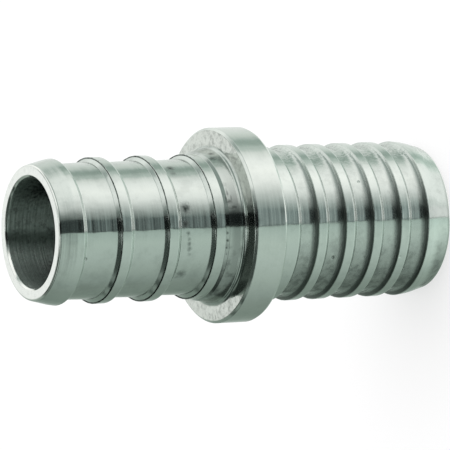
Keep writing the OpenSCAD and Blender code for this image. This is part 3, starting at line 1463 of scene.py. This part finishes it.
    def close_bore(self, radius: float) -> bpy.types.Object:
        """Lay a dark disc of painted shade under the bore, which the steel, unable to see the floor, sees
        in place of the shaded floor inside it.

        Args:
            radius: Radius of the bore in mm.

        Returns:
            The disc object.
        """
        clear_selection()
        bpy.ops.mesh.primitive_circle_add(
            vertices=64, radius=(radius + self.disc_margin) * MM, fill_type="NGON",
            location=(0.0, 0.0, -self.disc_drop * MM),
        )
        disc = bpy.context.object
        disc.name = "bore shade disc"
        material = bpy.data.materials.new("painted bore shade")
        tree = empty_tree(material)
        shade_sheet = add_node(tree, "ShaderNodeBsdfDiffuse", inputs={"Color": linear(self.shade_disc_colour)})
        add_node(tree, "ShaderNodeOutputMaterial", inputs={"Surface": shade_sheet})
        disc.data.materials.append(material)
        return disc

    def hang_lamp(self) -> bpy.types.Object:
        """Add the overhead lamp that lights the floor softly.

        Returns:
            The lamp object.
        """
        data = bpy.data.lights.new("overhead soft light", "AREA")
        data.shape = "DISK"
        data.size = self.lamp_size
        data.energy = self.lamp_watts
        lamp = bpy.data.objects.new("overhead soft light", data)
        bpy.context.scene.collection.objects.link(lamp)
        lamp.location = self.lamp_place
        lamp.rotation_euler = lamp.location.to_track_quat("Z", "Y").to_euler()
        # The steel mirrors the lights of the world in its place.
        lamp.visible_glossy = False
        return lamp

    def wrap_world(self) -> None:
        """Build the surroundings: soft box, bench, panels, dark gap, ceiling and white sweep."""
        world = bpy.data.worlds.new("studio")
        bpy.context.scene.world = world
        world.cycles.sampling_method = "NONE"
        tree = empty_tree(world)
        way = add_node(tree, "ShaderNodeTexCoord").outputs["Generated"]
        axes = add_node(tree, "ShaderNodeSeparateXYZ", inputs={0: way})
        turn = self._turn_share(tree, axes)
        sight = Sight(axes.outputs["X"], axes.outputs["Y"], axes.outputs["Z"], turn)
        studio = self._ceiling(tree, sight, self._gap(tree, sight, self._walls(tree, sight)))
        steel_sees = add_node(tree, "ShaderNodeBackground", inputs={"Color": studio, "Strength": 1.0})
        white = add_node(tree, "ShaderNodeBackground", inputs={"Color": WHITE, "Strength": 1.0})
        # The eye sees plain white round the part.
        seen = add_node(tree, "ShaderNodeMixShader", inputs={
            0: seen_directly(tree), 1: steel_sees, 2: white,
        })
        add_node(tree, "ShaderNodeOutputWorld", inputs={"Surface": seen})

    def _turn_share(self, tree: Tree, axes: bpy.types.Node) -> Source:
        """Angle of the line of sight round the axis, as a share of a full turn.

        Args:
            tree: Node tree of the world.
            axes: Node with the parts of the line of sight.

        Returns:
            Source that runs from 0 at -180 degrees to 1 at 180 degrees.
        """
        # Overhead, the pattern of the front is carried on a little to the back.
        carry = cover(tree, [(axes.outputs["Z"], 0.6, 0.95)], 0.35)
        front = add_node(tree, "ShaderNodeMath", {"operation": "SUBTRACT"}, {
            0: carry, 1: axes.outputs["Y"],
        })
        turn = add_node(tree, "ShaderNodeMath", {"operation": "ARCTAN2"}, {
            0: axes.outputs["X"], 1: front,
        })
        return add_node(tree, "ShaderNodeMapRange", {"clamp": False}, {
            "Value": turn, "From Min": -math.pi, "From Max": math.pi,
        })

    def _walls(self, tree: Tree, sight: Sight) -> Source:
        """Light of the soft box, the bench and the sweep, without the gap.

        Args:
            tree: Node tree of the world.
            sight: Line of sight.

        Returns:
            Source of the colour.
        """
        pattern = add_node(tree, "ShaderNodeValToRGB", inputs={"Fac": sight.turn})
        set_stops(pattern.color_ramp, [((a + 180) / 360, (r, g, b, 1.0)) for a, r, g, b in self.walls])
        # The soft box is one even sheet above the horizon.
        sheet = lay(tree, pattern, self.box_light, [
            (sight.side, 0.35, 0.65), (sight.high, -0.3, 0.05),
        ])
        # The wall above its back edge is pale too.
        box = lay(tree, sheet, self.pale_light, [
            (sight.side, 0.22, 0.34), (sight.back, -0.04, 0.06), (sight.high, 0.64, 0.74),
        ])
        # A dark bar crosses the pale wall behind the part, away from the soft box.
        bar = lay(tree, self.bar_dark, self.bar_grey, [(sight.side, -0.012, 0.025)])
        barred = lay(tree, self._panels(tree, sight, box), bar, [
            (sight.high, 0.51, 0.53), (sight.high, 0.72, 0.62),
            (sight.side, 0.45, 0.2), (sight.back, 0.0, 0.3),
        ])
        # Below the part, the white sweep takes the place of the walls.
        lifted = add_node(tree, "ShaderNodeVectorMath", {"operation": "SCALE"}, {
            0: pattern, "Scale": self.sweep_gain,
        })
        sweep = add_node(tree, "ShaderNodeVectorMath", {"operation": "MINIMUM"}, {
            0: lifted, 1: self.sweep_white,
        })
        return lay(tree, barred, sweep, [(sight.high, -0.52, -0.70)])

    def _panels(self, tree: Tree, sight: Sight, walls: Source) -> Source:
        """Stand panels before the walls, in rows near the bench and under the ceiling.

        Args:
            tree: Node tree of the world.
            sight: Line of sight.
            walls: Colour without the panels.

        Returns:
            Source of the colour.
        """
        panels = add_node(tree, "ShaderNodeValToRGB", inputs={"Fac": sight.turn})
        set_stops(panels.color_ramp, [((a + 180) / 360, (v, v, v, 1.0)) for a, v in self.panels])
        # The upper row ends before the soft box.
        by_box = lay(tree, self._level(tree, sight.high, self.light_rows),
                     self._level(tree, sight.high, self.low_row), [(sight.side, 0.28, 0.46)])
        standing = lay(tree, self._level(tree, sight.high, self.dark_rows), by_box, [
            (sight.side, 0.0, 0.12),
        ])
        colour = lay(tree, self.panel_dark, self.panel_grey, [(sight.side, 0.0, 0.12)])
        return lay(tree, walls, colour, shares=(panels, standing))

    def _gap(self, tree: Tree, sight: Sight, walls: Source) -> Source:
        """Cut the dark gap into the walls.

        Args:
            tree: Node tree of the world.
            sight: Line of sight.
            walls: Colour without the gap.

        Returns:
            Source of the colour.
        """
        cut = add_node(tree, "ShaderNodeValToRGB", inputs={"Fac": sight.turn})
        set_stops(cut.color_ramp, [((a + 180) / 360, (g, e, 0.0, 1.0)) for a, g, e in self.gap])
        parts = add_node(tree, "ShaderNodeSeparateColor", inputs={0: cut})
        level = self._level(tree, sight.high, self.gap_level)
        edged = cover(tree, (), shares=(level, parts.outputs["Green"]))
        # The deep gap looks blue-green, and the pale wall at its foot white.
        hue = lay(tree, self.gap_tint, self.foot_tint, [(level, 0.4, 0.85)])
        depth = add_node(tree, "ShaderNodeVectorMath", {"operation": "SCALE"}, {0: hue, "Scale": edged})
        return lay(tree, walls, depth, shares=(parts.outputs["Red"],))

    def _ceiling(self, tree: Tree, sight: Sight, walls: Source) -> Source:
        """Lay the ceiling over the walls.

        Args:
            tree: Node tree of the world.
            sight: Line of sight.
            walls: Colour without the ceiling.

        Returns:
            Source of the colour.
        """
        # Past the part, the ceiling is an even grey.
        strips = lay(tree, self._level(tree, sight.side, self.ceiling), self.ceiling_grey, [
            (sight.back, -0.05, 0.03),
        ])
        tinted = add_node(tree, "ShaderNodeVectorMath", {"operation": "MULTIPLY"}, {
            0: self.ceiling_tint, 1: strips,
        })
        return lay(tree, walls, tinted, [(sight.high, 0.93, 0.96)])

    def _level(self, tree: Tree, way: Source, stops: Table) -> Source:
        """Light level along one axis of the line of sight.

        Args:
            tree: Node tree of the world.
            way: Part of the line of sight, from -1 to 1.
            stops: Place and level of each stop.

        Returns:
            Source of the level.
        """
        share = add_node(tree, "ShaderNodeMapRange", inputs={"Value": way, "From Min": -1.0})
        ramp = add_node(tree, "ShaderNodeValToRGB", inputs={"Fac": share})
        set_stops(ramp.color_ramp, [((a + 1) / 2, (v, v, v, 1.0)) for a, v in stops])
        return ramp


def main() -> None:
    """Build the coupling, its studio and the camera."""
    logging.basicConfig(level=logging.INFO, format="%(name)s: %(message)s")
    bpy.context.scene.view_settings.view_transform = "Standard"
    body = CouplingBody()
    piece = body.build()
    body.dress(piece)
    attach(piece, "root")
    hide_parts(NODE_NAME)
    LOG.info("coupling: %d vertices, %d faces", len(piece.data.vertices), len(piece.data.polygons))
    studio = Studio()
    for prop in (studio.lay_floor(), studio.close_bore(body.bore.radius), studio.hang_lamp()):
        LOG.info("studio: %s", prop.name)
    studio.wrap_world()
    LOG.info("camera: %s", Camera().place().name)


if __name__ == "__main__":
    main()
